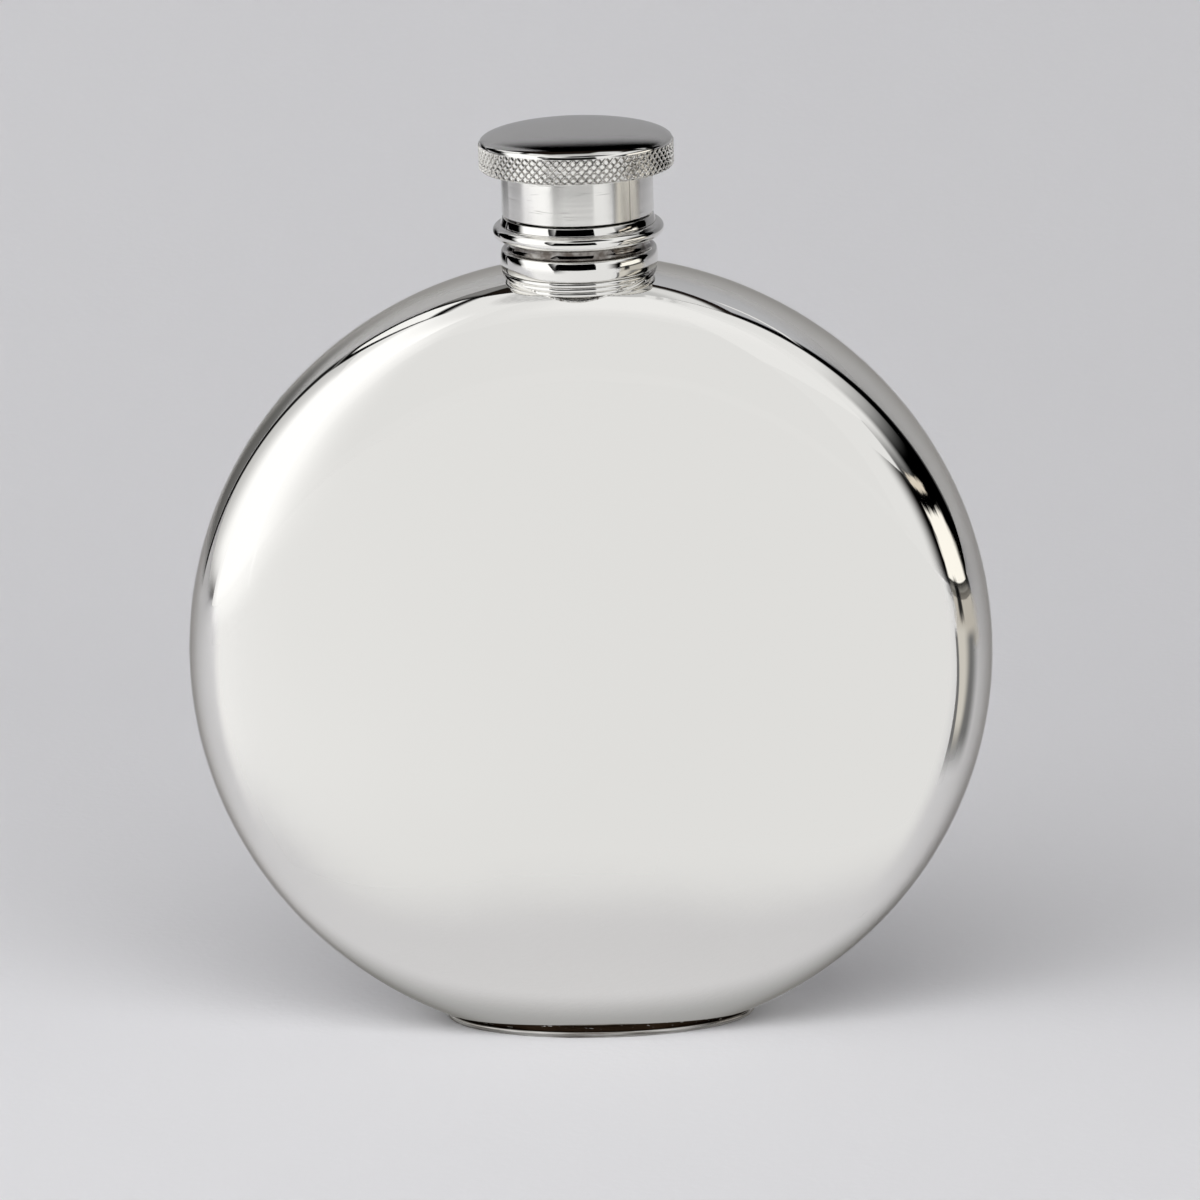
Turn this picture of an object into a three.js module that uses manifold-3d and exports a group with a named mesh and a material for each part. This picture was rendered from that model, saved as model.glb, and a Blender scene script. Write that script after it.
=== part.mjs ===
// A round pewter hip flask with a screw cap, in millimetres, +Z up, standing on its foot.
// The front faces -Y. Z = 0 is the underside of the foot, and X = Y = 0 is the axis of the neck.
import * as THREE from 'three';
import { mergeVertices } from 'three/addons/utils/BufferGeometryUtils.js';
import Module from 'manifold-3d';

const wasm = await Module();
wasm.setup();

// Body: a round pillow, soldered together from two dished shells
const bodyRadius = 52.5;
const faceHalfDepth = 13.3;
const faceFall = 1.6;
const sideSquareness = 17;
const shellWall = 1.2;

// Foot: a plate that closes the flat cut at the bottom of the body, on a smaller oval base
const footWidth = 43;
const footThickness = 1.65;
const footInset = 0.5;
const baseWidth = 40.6;
const baseDepth = 19.6;
const baseThickness = 0.75;
const baseRound = 0.3;

// Neck: a beaded collar round a threaded spout
const spoutBoreRadius = 6.3;
const spoutStemRadius = 7.8;
const spoutStemDepth = 3.4;
const threadCoreRadius = 8.0;
const spoutRimRound = 0.4;
const flangeTopRadius = 9.75;
const flangeBottomRadius = 10.05;
const flangeHeight = 0.9;
const upperBeadRadius = 11.07;
const upperBeadHeight = 1.9;
const upperBeadRootRadius = 10.0;
const grooveRadius = 9.1;
const grooveHeight = 1.4;
const lowerBeadRadius = 10.2;
const lowerBeadRootRadius = 9.5;
const lowerBeadHeight = 2.8;
const lowerBeadDrop = 1.1;
const reedCount = 3;
const reedHeight = 0.6;
const reedRadius = 10.05;
const reedRootRadius = 9.85;
const collarSkirtDepth = 4.5;
const roundBead = 1;
const fullBead = 0.5;

// Cap: a knurled crown on a satin sleeve, with a sealing disc inside
const sleeveRadius = 9.78;
const sleeveBoreRadius = 8.75;
const sleeveShow = 5.9;
const sleeveEdgeRound = 0.2;
const crownSeatDepth = 1.5;
const knurlRadius = 12.57;
const knurlHeight = 3.3;
const knurlDepth = 0.3;
const knurlDiamonds = 72;
const knurlRows = 3;
const knurlEdge = 0.25;
const landRadius = 12.1;
const landHeight = 0.4;
const domeHeight = 1.75;
const linerThickness = 1.5;

// Clearances
const solderGap = 0.1;
const saddleGap = 0.3;
const pressGap = 0.1;
const linerGap = 0.3;
const capGap = 0.3;

// Fineness of the facets
const bodySegments = 64;
const outerSteps = 13;
const innerSteps = 7;
const rimCrowding = 0.35;
const footSteps = 48;
const neckSegments = 48;
const beadSteps = 6;
const reedSteps = 2;
const domeSteps = 4;
const cutMargin = 5;

// Heights that follow from the sizes above, from the foot upwards
const footBelowCentre = Math.sqrt(bodyRadius ** 2 - (footWidth / 2) ** 2);
const bodyCentreHeight = footThickness + footBelowCentre;
const bodyTop = bodyCentreHeight + bodyRadius;
const lowerBeadBottom = bodyTop - lowerBeadDrop;
const lowerBeadTop = lowerBeadBottom + lowerBeadHeight;
const upperBeadBottom = lowerBeadTop + grooveHeight;
const collarTop = upperBeadBottom + upperBeadHeight;
const flangeTop = collarTop + solderGap + flangeHeight;
const sleeveBottom = flangeTop + capGap;
const knurlBottom = sleeveBottom + sleeveShow;
const crownCeiling = knurlBottom + crownSeatDepth;
const linerTop = crownCeiling - linerGap;
const linerBottom = linerTop - linerThickness;
const spoutTop = linerBottom - linerGap;
const knurlTop = knurlBottom + knurlHeight;
const landTop = knurlTop + landHeight;
const linerRadius = sleeveBoreRadius - linerGap;

const polishedPewter = { color: 0xc9c8c4, roughness: 0.1, metalness: 1 };
const satinPewter = { color: 0xbdbbb5, roughness: 0.34, metalness: 1 };
const cork = { color: 0xa97c50, roughness: 0.85, metalness: 0 };

const point = (radius, height) => new THREE.Vector2(radius, height);

// The section of the body at a given share of its radius: the height of the gently crowned face,
// and how far the round side has turned it over, from 1 in the middle to 0 at the rim.
const crownDepth = (share) => faceHalfDepth - faceFall * share ** 2;
const turnOver = (share) => Math.sqrt(1 - share ** sideSquareness);

// The half section moved outwards by an offset, from the middle of the face to the rim.
function bodySkin(offset, steps) {
  const skin = [];
  for (let i = 0; i <= steps; i++) {
    const share = Math.sin(Math.PI / 2 * i / steps) ** rimCrowding;
    const crownFall = 2 * faceFall * share * turnOver(share) ** 2;
    const sideFall = crownDepth(share) * sideSquareness * share ** (sideSquareness - 1) / 2;
    const tilt = Math.atan2((crownFall + sideFall) / bodyRadius, turnOver(share));
    const depth = crownDepth(share) * turnOver(share);
    skin.push(point(bodyRadius * share + offset * Math.sin(tilt), depth + offset * Math.cos(tilt)));
  }
  skin[steps].y = 0;
  return skin;
}

// The front or back half of a skin, as a profile round the depth axis.
const frontHalf = (skin) => skin.map(({ x, y }) => point(x, -y));
const backHalf = (skin) => skin.map(({ x, y }) => point(x, y)).reverse();

// A profile turned round the vertical axis. A point that repeats the one before it is left out.
function turned(profile) {
  const points = profile.filter((corner, i) => i === 0 || !corner.equals(profile[i - 1]));
  return new THREE.LatheGeometry(points, neckSegments).rotateX(Math.PI / 2);
}

// A bead or a groove between two heights, as points of a profile.
// A lower power of the curve gives a fuller bead, with a straighter side.
function bead(rootRadius, crestRadius, bottom, top, power, steps = beadSteps) {
  const points = [];
  for (let i = 0; i <= steps; i++) {
    const angle = Math.PI * i / steps;
    const bulge = i % steps ? Math.sin(angle) ** power : 0;
    const radius = rootRadius + (crestRadius - rootRadius) * bulge;
    const height = THREE.MathUtils.lerp(bottom, top, (1 - Math.cos(angle)) / 2);
    points.push(point(radius, height));
  }
  return points;
}

// A closed solid for joining and cutting, from a geometry whose shared vertices are merged.
function solid(geometry) {
  const bare = geometry.clone();
  bare.deleteAttribute('normal');
  bare.deleteAttribute('uv');
  const merged = mergeVertices(bare);
  const triangles = [];
  for (let i = 0; i < merged.index.count; i += 3) {
    const corners = [0, 1, 2].map((k) => merged.index.getX(i + k));
    if (new Set(corners).size === 3) triangles.push(...corners);
  }
  return new wasm.Manifold(new wasm.Mesh({
    numProp: 3,
    vertProperties: new Float32Array(merged.attributes.position.array),
    triVerts: new Uint32Array(triangles),
  }));
}

// A closed solid turned back into a geometry.
function geometryOf(result) {
  const mesh = result.getMesh();
  const positions = [];
  for (let i = 0; i < mesh.vertProperties.length; i += mesh.numProp) {
    positions.push(...mesh.vertProperties.slice(i, i + 3));
  }
  const finished = new THREE.BufferGeometry();
  finished.setAttribute('position', new THREE.Float32BufferAttribute(positions, 3));
  finished.setIndex(Array.from(mesh.triVerts));
  return finished;
}

// A geometry with other geometries cut out of it, and two geometries joined into one.
const cut = (geometry, ...tools) => (
  geometryOf(tools.reduce((rest, tool) => rest.subtract(solid(tool)), solid(geometry)))
);
const join = (first, second) => geometryOf(solid(first).add(solid(second)));

const flask = new THREE.Group();

function add(name, geometry, material) {
  geometry.computeVertexNormals();
  const mesh = new THREE.Mesh(geometry, new THREE.MeshStandardMaterial(material));
  mesh.name = name;
  flask.add(mesh);
}

// The two dished shells meet rim to rim on the middle plane.
// Both are cut flat at the bottom for the foot and bored at the top for the spout.
function shell(profile) {
  const height = bodyTop + cutMargin;
  const width = 2 * (bodyRadius + cutMargin);
  const dish = new THREE.LatheGeometry(profile, bodySegments);
  dish.translate(0, 0, bodyCentreHeight);
  const below = new THREE.BoxGeometry(width, width, height);
  below.translate(0, 0, footThickness - height / 2);
  const neckHole = turned([
    point(0, bodyCentreHeight),
    point(spoutStemRadius + solderGap, bodyCentreHeight),
    point(spoutStemRadius + solderGap, height),
    point(0, height),
  ]);
  return cut(dish, below, neckHole);
}

const outerSkin = bodySkin(0, outerSteps);
const innerSkin = bodySkin(-shellWall, innerSteps);
const frontProfile = [...frontHalf(outerSkin), ...frontHalf(innerSkin).reverse()];
const backProfile = [...backHalf(innerSkin).reverse(), ...backHalf(outerSkin)];
add('front_shell', shell(frontProfile), polishedPewter);
add('back_shell', shell(backProfile), polishedPewter);

// The foot has the outline of the flat cut, set in a little, and stands on a smaller oval base.
function foot() {
  const outline = [];
  for (let i = 0; i < footSteps; i++) {
    const angle = 2 * Math.PI * i / footSteps;
    const x = footWidth / 2 * Math.cos(angle);
    const share = Math.min(Math.hypot(x, footBelowCentre) / bodyRadius, 1);
    const y = Math.sign(Math.sin(angle)) * crownDepth(share) * turnOver(share);
    const inwards = 1 - footInset / Math.hypot(x, y);
    outline.push(point(x * inwards, y * inwards));
  }
  const plate = new THREE.ExtrudeGeometry(new THREE.Shape(outline), {
    depth: footThickness - baseThickness,
    bevelEnabled: false,
  });
  plate.translate(0, 0, baseThickness);
  const base = turned([
    point(0, 0),
    ...bead(baseWidth / 2 - baseRound, baseWidth / 2, 0, baseThickness, fullBead),
    point(0, baseThickness),
  ]);
  return join(plate, base.scale(1, baseDepth / baseWidth, 1));
}

add('foot_plate', foot(), polishedPewter);

// The collar is turned with two beads over a reeded base, and its underside is cut to the body.
function collar() {
  const bore = spoutStemRadius + solderGap;
  const bottom = bodyTop - collarSkirtDepth;
  const reeds = [];
  for (let i = reedCount; i > 0; i--) {
    const low = lowerBeadBottom - i * reedHeight;
    reeds.push(...bead(reedRootRadius, reedRadius, low, low + reedHeight, roundBead, reedSteps));
  }
  const ring = turned([
    point(bore, bottom),
    point(reedRootRadius, bottom),
    ...reeds,
    ...bead(lowerBeadRootRadius, lowerBeadRadius, lowerBeadBottom, lowerBeadTop, fullBead),
    ...bead(lowerBeadRootRadius, grooveRadius, lowerBeadTop, upperBeadBottom, roundBead),
    ...bead(upperBeadRootRadius, upperBeadRadius, upperBeadBottom, collarTop, roundBead),
    point(bore, collarTop),
    point(bore, bottom),
  ]);
  const saddle = bodySkin(saddleGap, outerSteps);
  const body = new THREE.LatheGeometry([...frontHalf(saddle), ...backHalf(saddle)], bodySegments);
  return cut(ring, body.translate(0, 0, bodyCentreHeight));
}

add('neck_collar', collar(), polishedPewter);

// The spout drops through the collar into the body. Its flange covers the collar's top,
// and the thread is cut on the core above the flange.
const flangeBottom = collarTop + solderGap;
const stemBottom = bodyTop - spoutStemDepth;
add('neck_spout', turned([
  point(spoutBoreRadius, stemBottom),
  point(spoutStemRadius, stemBottom),
  point(spoutStemRadius, flangeBottom),
  point(flangeBottomRadius, flangeBottom),
  point(flangeTopRadius, flangeTop),
  point(threadCoreRadius, flangeTop),
  point(threadCoreRadius, spoutTop - spoutRimRound),
  point(threadCoreRadius - spoutRimRound, spoutTop),
  point(spoutBoreRadius, spoutTop),
  point(spoutBoreRadius, stemBottom),
]), polishedPewter);

// Ridges cross on the rim of the crown in a lattice. Every second point of the lattice
// is sunk, and each four-sided cell is folded along the line that joins its two high points.
function knurl(geometry, profileLength, firstRow, rowCount) {
  const position = geometry.attributes.position;
  for (let i = 0; i < position.count; i++) {
    const row = i % profileLength - firstRow;
    const column = Math.floor(i / profileLength);
    const sunk = row >= 0 && row <= rowCount && (row + column) % 2 === 1;
    const scale = sunk ? 1 - knurlDepth / knurlRadius : 1;
    position.setX(i, position.getX(i) * scale);
    position.setZ(i, position.getZ(i) * scale);
  }
  for (let column = 0; column < 2 * knurlDiamonds; column++) {
    for (let row = column % 2; row < rowCount; row += 2) {
      const near = column * profileLength + firstRow + row;
      const far = near + profileLength;
      const place = 6 * (column * (profileLength - 1) + firstRow + row);
      const corners = [near, far, far + 1, near, far + 1, near + 1];
      corners.forEach((corner, k) => geometry.index.setX(place + k, corner));
    }
  }
  return geometry;
}

// The crown sits over the top of the sleeve, with a plain land between the knurl and the dome.
function crown() {
  const seatRadius = sleeveRadius + pressGap;
  const edgeRadius = knurlRadius - knurlDepth - knurlEdge;
  const underside = [
    point(0, crownCeiling),
    point(seatRadius, crownCeiling),
    point(seatRadius, knurlBottom),
    point(edgeRadius, knurlBottom),
  ];
  const rowCount = 2 * knurlRows;
  const rim = [];
  for (let i = 0; i <= rowCount; i++) {
    rim.push(point(knurlRadius, THREE.MathUtils.lerp(knurlBottom + knurlEdge, knurlTop, i / rowCount)));
  }
  const dome = [];
  for (let i = 0; i < domeSteps; i++) {
    const angle = Math.PI / 2 * i / domeSteps;
    dome.push(point(landRadius * Math.cos(angle), landTop + domeHeight * Math.sin(angle)));
  }
  const top = [point(landRadius, knurlTop), ...dome, point(0, landTop + domeHeight)];
  const profile = [...underside, ...rim, ...top];
  const blank = new THREE.LatheGeometry(profile, 2 * knurlDiamonds);
  return knurl(blank, profile.length, underside.length, rowCount).rotateX(Math.PI / 2);
}

add('cap_crown', crown(), polishedPewter);

// The sleeve is a plain turned tube. Its thread is cut in the bore.
add('cap_sleeve', turned([
  point(sleeveBoreRadius, sleeveBottom),
  point(sleeveRadius - sleeveEdgeRound, sleeveBottom),
  point(sleeveRadius, sleeveBottom + sleeveEdgeRound),
  point(sleeveRadius, crownCeiling),
  point(sleeveBoreRadius, crownCeiling),
  point(sleeveBoreRadius, sleeveBottom),
]), satinPewter);

// A loose cork disc seals the rim of the spout.
add('cap_liner', turned([
  point(0, linerBottom),
  point(linerRadius, linerBottom),
  point(linerRadius, linerTop),
  point(0, linerTop),
]), cork);

export default flask;
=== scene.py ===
"""Looks of a round pewter hip flask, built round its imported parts."""
import math

import bpy
from bpy.props import FloatProperty, FloatVectorProperty, IntProperty, PointerProperty
from mathutils import Matrix, Vector


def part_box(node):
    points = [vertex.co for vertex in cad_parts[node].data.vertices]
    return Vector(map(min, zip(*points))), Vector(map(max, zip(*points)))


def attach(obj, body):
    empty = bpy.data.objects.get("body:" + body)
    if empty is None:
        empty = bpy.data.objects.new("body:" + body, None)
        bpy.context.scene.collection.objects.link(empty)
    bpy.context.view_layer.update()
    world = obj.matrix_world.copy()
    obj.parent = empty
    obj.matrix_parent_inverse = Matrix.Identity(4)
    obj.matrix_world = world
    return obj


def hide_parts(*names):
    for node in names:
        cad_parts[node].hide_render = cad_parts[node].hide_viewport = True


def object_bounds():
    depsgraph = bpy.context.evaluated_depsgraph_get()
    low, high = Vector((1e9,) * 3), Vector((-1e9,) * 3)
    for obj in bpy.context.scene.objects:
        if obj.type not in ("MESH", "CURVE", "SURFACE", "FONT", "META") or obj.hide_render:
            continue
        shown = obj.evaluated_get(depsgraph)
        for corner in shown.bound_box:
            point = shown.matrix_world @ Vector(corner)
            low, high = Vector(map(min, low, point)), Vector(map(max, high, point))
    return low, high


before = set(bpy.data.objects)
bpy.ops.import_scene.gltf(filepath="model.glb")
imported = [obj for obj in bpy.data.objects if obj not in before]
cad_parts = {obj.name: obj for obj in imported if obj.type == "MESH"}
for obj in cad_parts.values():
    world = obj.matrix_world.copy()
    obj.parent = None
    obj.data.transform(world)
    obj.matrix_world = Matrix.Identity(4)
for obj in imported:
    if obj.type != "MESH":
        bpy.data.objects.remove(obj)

bl_info = {
    "name": "Round pewter hip flask",
    "version": (1, 0, 0),
    "blender": (4, 5, 0),
    "location": "3D View > Sidebar > Flask",
    "description": "Builds the looks of a round pewter hip flask with a knurled screw cap",
    "category": "Object",
}

MM = 0.001
IMAGE_WIDTH = 1200
SENSOR_WIDTH = 36

# How finely the curved pieces are drawn.
SHELL_STEPS = 111
SHELL_SEGMENTS = 257
RIM_CROWDING = 0.35
NECK_SEGMENTS = 192
BEAD_STEPS = 24
REED_STEPS = 8
THREAD_ROWS_PER_TURN = 16
KNURL_STEPS = 12
DOME_STEPS = 26
FOOT_SEGMENTS = 240
CORNER_STEPS = 4
CORNER_SHARE = 0.45
BEAD_POINTS = 10
SWEEP_STEPS = 32
CARD_COLUMNS = 32
CARD_ROWS = 20
CORNER_ANGLE = math.radians(22)
SHARP_ANGLE = math.radians(32)
MERGE_DISTANCE = 0.001 * MM

# Shares of a diamond and of a pitch that shape the knurl and the thread.
KNURL_FLANK = 0.16
KNURL_TOP = 1.001
THREAD_CREST = 0.03
THREAD_FLANK = 0.24
THREAD_RUN_IN = 0.3

# Powers that make a bead fuller than a half circle, and proportions of the spout.
FOOT_FULLNESS = 0.7
LOWER_BEAD_FULLNESS = 0.5
FLANGE_GAP_SHARE = 0.75
RIM_BEVEL_CORNERS = 3

# Where the grid of a shell starts, just off its middle, and the lumps along a ragged card's edges.
GRID_START = -0.4999
RAGGED_LUMPS = (7, 3, 1)

CAD_BOX = [list(corner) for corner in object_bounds()]
shell_low, shell_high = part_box("front_shell")
foot_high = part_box("foot_plate")[1]
collar_low, collar_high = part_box("neck_collar")
spout_low, spout_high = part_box("neck_spout")
sleeve_low, sleeve_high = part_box("cap_sleeve")
crown_low, crown_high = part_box("cap_crown")
liner_low, liner_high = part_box("cap_liner")


def linear(colour):
    """An sRGB hex colour as linear red, green, blue and alpha."""
    channels = [int(colour[i:i + 2], 16) / 255 for i in (1, 3, 5)]
    return [c / 12.92 if c <= 0.04045 else ((c + 0.055) / 1.055) ** 2.4 for c in channels] + [1]


def length_field(name, description, default):
    """A length, in metres."""
    return FloatProperty(name=name, description=description, default=default, unit="LENGTH")


def angle_field(name, description, degrees):
    """An angle, given in degrees."""
    return FloatProperty(
        name=name, description=description, default=math.radians(degrees), subtype="ANGLE")


def colour_field(name, description, colour):
    """A colour, given as sRGB hex."""
    return FloatVectorProperty(
        name=name, description=description, default=linear(colour), size=4, subtype="COLOR")


class FlaskBodySizes(bpy.types.PropertyGroup):
    """Sizes of the two dished shells and the foot"""
    radius: length_field("Radius", "Radius of the round body", shell_high.x)
    half_depth: length_field("Half depth", "From the middle plane to the middle of the face", -shell_low.y)
    face_fall: length_field("Face fall", "How far the crowned face falls away towards its edge", 1.6 * MM)
    squareness: FloatProperty(
        name="Squareness", description="Higher values turn the face over into the side more tightly",
        default=17)
    wall: length_field("Wall", "Thickness of the sheet", 1.2 * MM)
    foot_width: length_field("Foot width", "Width of the flat cut that the foot closes", 43 * MM)
    foot_inset: length_field(
        "Foot inset", "How far the soldered seam over the base lies inside the cut", 0.5 * MM)
    base_width: length_field("Base width", "Width of the oval base", 40.6 * MM)
    base_depth: length_field("Base depth", "Depth of the oval base", 22.2 * MM)
    base_thickness: length_field("Base thickness", "Thickness of the oval base", 0.75 * MM)


class FlaskNeckSizes(bpy.types.PropertyGroup):
    """Sizes of the collar and the spout"""
    bore_radius: length_field("Bore", "Radius of the pouring bore", 6.3 * MM)
    stem_radius: length_field("Stem", "Radius of the stem that drops into the body", 7.8 * MM)
    core_radius: length_field("Thread core", "Radius of the spout under its thread", 8 * MM)
    flange_radius: length_field("Flange", "Radius of the conical flange at its bottom", 10.05 * MM)
    flange_taper: length_field("Flange taper", "How much smaller the flange is at its top", 0.3 * MM)
    flange_height: length_field("Flange height", "Height of the conical flange", 0.9 * MM)
    upper_bead_radius: length_field("Upper bead", "Radius of the wide bead under the cap", collar_high.x)
    upper_bead_root: length_field("Upper bead root", "Radius where the wide bead ends", 10 * MM)
    upper_bead_height: length_field("Upper bead height", "Height of the wide bead", 1.9 * MM)
    groove_radius: length_field("Groove", "Radius at the bottom of the groove between the beads", 9.1 * MM)
    groove_height: length_field("Groove height", "Height of the groove", 1.4 * MM)
    lower_bead_radius: length_field("Lower bead", "Radius of the full bead above the reeds", 10.2 * MM)
    lower_bead_root: length_field("Lower bead root", "Radius where the full bead ends", 9.5 * MM)
    lower_bead_height: length_field("Lower bead height", "Height of the full bead", 2.8 * MM)
    reed_count: IntProperty(name="Reeds", description="Fine reeds turned on the base", default=3)
    reed_height: length_field("Reed height", "Height of one reed", 0.6 * MM)
    reed_radius: length_field("Reed radius", "Radius over the reeds", 10.05 * MM)
    reed_root: length_field("Reed root", "Radius between the reeds", 9.85 * MM)
    base_trim: length_field("Base trim", "How much of the saddle's lowest lip is trimmed level", 0.4 * MM)
    solder_radius: length_field("Solder", "Radius of the bead of solder round the collar", 0.16 * MM)
    corner: length_field("Corner", "Rounding of the turned edges", 0.12 * MM)


class FlaskCapSizes(bpy.types.PropertyGroup):
    """Sizes of the screw cap and its thread"""
    sleeve_bore: length_field("Sleeve bore", "Inner radius of the sleeve", 8.75 * MM)
    seat_gap: length_field("Seat gap", "Gap of the crown round the sleeve", 0.1 * MM)
    knurl_height: length_field("Knurl height", "Height of the knurled rim", 3.3 * MM)
    knurl_depth: length_field("Knurl depth", "Depth of a diamond between the ridges", 0.26 * MM)
    knurl_edge: length_field("Knurl edge", "Rounding of the rim's lower edge", 0.4 * MM)
    diamonds: IntProperty(name="Diamonds", description="Diamonds round the rim", default=72)
    rows: IntProperty(name="Rows", description="Diamonds from the bottom of the rim to its top", default=3)
    ridge_share: FloatProperty(
        name="Ridge share", description="Share of a diamond that its ridge takes", default=0.04)
    land_radius: length_field("Land radius", "Radius of the plain land under the dome", 12.4 * MM)
    land_height: length_field("Land height", "Height of the plain land", 0.16 * MM)
    pitch: length_field("Pitch", "Rise of the thread in one turn", 2 * MM)
    thread_depth: length_field(
        "Thread depth", "Height of the thread on the spout and in the sleeve", 0.45 * MM)
    corner: length_field("Corner", "Rounding of the cap's edges", 0.14 * MM)


class FlaskFinish(bpy.types.PropertyGroup):
    """Colours of the finishes"""
    pewter: colour_field("Pewter", "Buffed pewter of the body, the neck and the crown", "#EDECE9")
    pewter_edge: colour_field(
        "Pewter edge", "Share of the light that buffed pewter returns at a glancing angle", "#C4C2BE")
    satin: colour_field("Satin pewter", "Pewter as it leaves the lathe, on the sleeve", "#F2F1EE")
    scratch_turn: angle_field(
        "Scratch turn", "Where the upright stained scratch on the sleeve is, from the front", 45.6)
    # Tarnish colour, also used for painted shade: it darkens the flanks of the knurl and greys the foot,
    # besides the real stains and specks.
    tarnish_and_shade: colour_field("Tarnish", "Grime and oxide in recesses and specks", "#5B534A")
    # Painted shade: a dark brown for the shadowed gap of the seam over the base and for the shade in the
    # collar's grooves.
    painted_shade_brown: colour_field("Flux", "Dark crust on the solder under the body", "#3E3024")
    cork: colour_field("Cork", "Pressed cork of the liner", "#B98A5C")
    cork_grain: colour_field("Cork grain", "Dark grains between the pressed pieces", "#6B4629")


class FlaskStage(bpy.types.PropertyGroup):
    """Floor, lamps and camera"""
    paper: colour_field("Paper", "Pale seamless paper under and behind the flask", "#EBEBEE")
    camera_distance: length_field("Camera distance", "From the camera to the point it looks at", 1.0)
    camera_azimuth: angle_field("Camera azimuth", "Turn of the camera to the right of the front", 2.107)
    camera_elevation: angle_field("Camera elevation", "How far the camera looks down", 15.04)
    camera_roll: angle_field("Camera roll", "Lean of the camera to its left", -1.652)
    target: FloatVectorProperty(
        name="Target", description="Point in the middle of the picture",
        default=(1.42 * MM, 0, 56.421 * MM), size=3, subtype="TRANSLATION", unit="LENGTH")
    picture_scale: FloatProperty(
        name="Picture scale", description="Pixels in the picture for a millimetre at the target",
        default=7.6646)


def add_node(tree, kind, links=None, **settings):
    """One node with its settings, its inputs given as values or as the outputs that feed them."""
    node = tree.nodes.new(kind)
    for name, value in settings.items():
        setattr(node, name, value)
    for name, value in (links or {}).items():
        if isinstance(value, bpy.types.NodeSocket):
            tree.links.new(value, node.inputs[name])
        elif isinstance(value, bpy.types.Node):
            tree.links.new(value.outputs[0], node.inputs[name])
        else:
            node.inputs[name].default_value = value
    return node


def math_node(tree, operation, *values, **settings):
    """A Math node on the given values."""
    return add_node(tree, "ShaderNodeMath", dict(enumerate(values)), operation=operation, **settings)


def ramp(tree, value, low, high, to_low=0.0, to_high=1.0, smooth=False):
    """A value brought from one range to another, evenly or with eased ends."""
    return add_node(tree, "ShaderNodeMapRange", {
        "Value": value, "From Min": low, "From Max": high, "To Min": to_low, "To Max": to_high},
        interpolation_type="SMOOTHSTEP" if smooth else "LINEAR")


def product(tree, *values):
    """The values multiplied one after the other."""
    result = values[0]
    for value in values[1:]:
        result = math_node(tree, "MULTIPLY", result, value)
    return result


def noise_node(tree, place, size, detail):
    """Noise with lumps of the given size."""
    return add_node(tree, "ShaderNodeTexNoise", {"Vector": place, "Scale": 1 / size, "Detail": detail})


def geometry_tree(name, sizes):
    """An empty Geometry Nodes tree with a geometry going through and the named inputs."""
    tree = bpy.data.node_groups.new(name, "GeometryNodeTree")
    tree.is_modifier = True
    tree.interface.new_socket("Geometry", in_out="INPUT", socket_type="NodeSocketGeometry")
    for label, kind in sizes.items():
        tree.interface.new_socket(label, in_out="INPUT", socket_type="NodeSocket" + kind)
    tree.interface.new_socket("Geometry", in_out="OUTPUT", socket_type="NodeSocketGeometry")
    return tree, tree.nodes.new("NodeGroupInput").outputs


def end_tree(tree, geometry, material):
    """Closes a tree with real geometry that carries its material."""
    real = add_node(tree, "GeometryNodeRealizeInstances", {"Geometry": geometry})
    painted = add_node(tree, "GeometryNodeSetMaterial", {"Geometry": real, "Material": material})
    add_node(tree, "NodeGroupOutput", {"Geometry": painted})


def run_tree(piece, tree, values):
    """Gives a piece the tree as a modifier, with its inputs set before it is first evaluated."""
    modifier = piece.modifiers.new(tree.name, "NODES")
    modifier.node_group = tree
    for socket in tree.interface.items_tree:
        if socket.in_out == "INPUT" and socket.name in values:
            modifier[socket.identifier] = values[socket.name]


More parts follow.
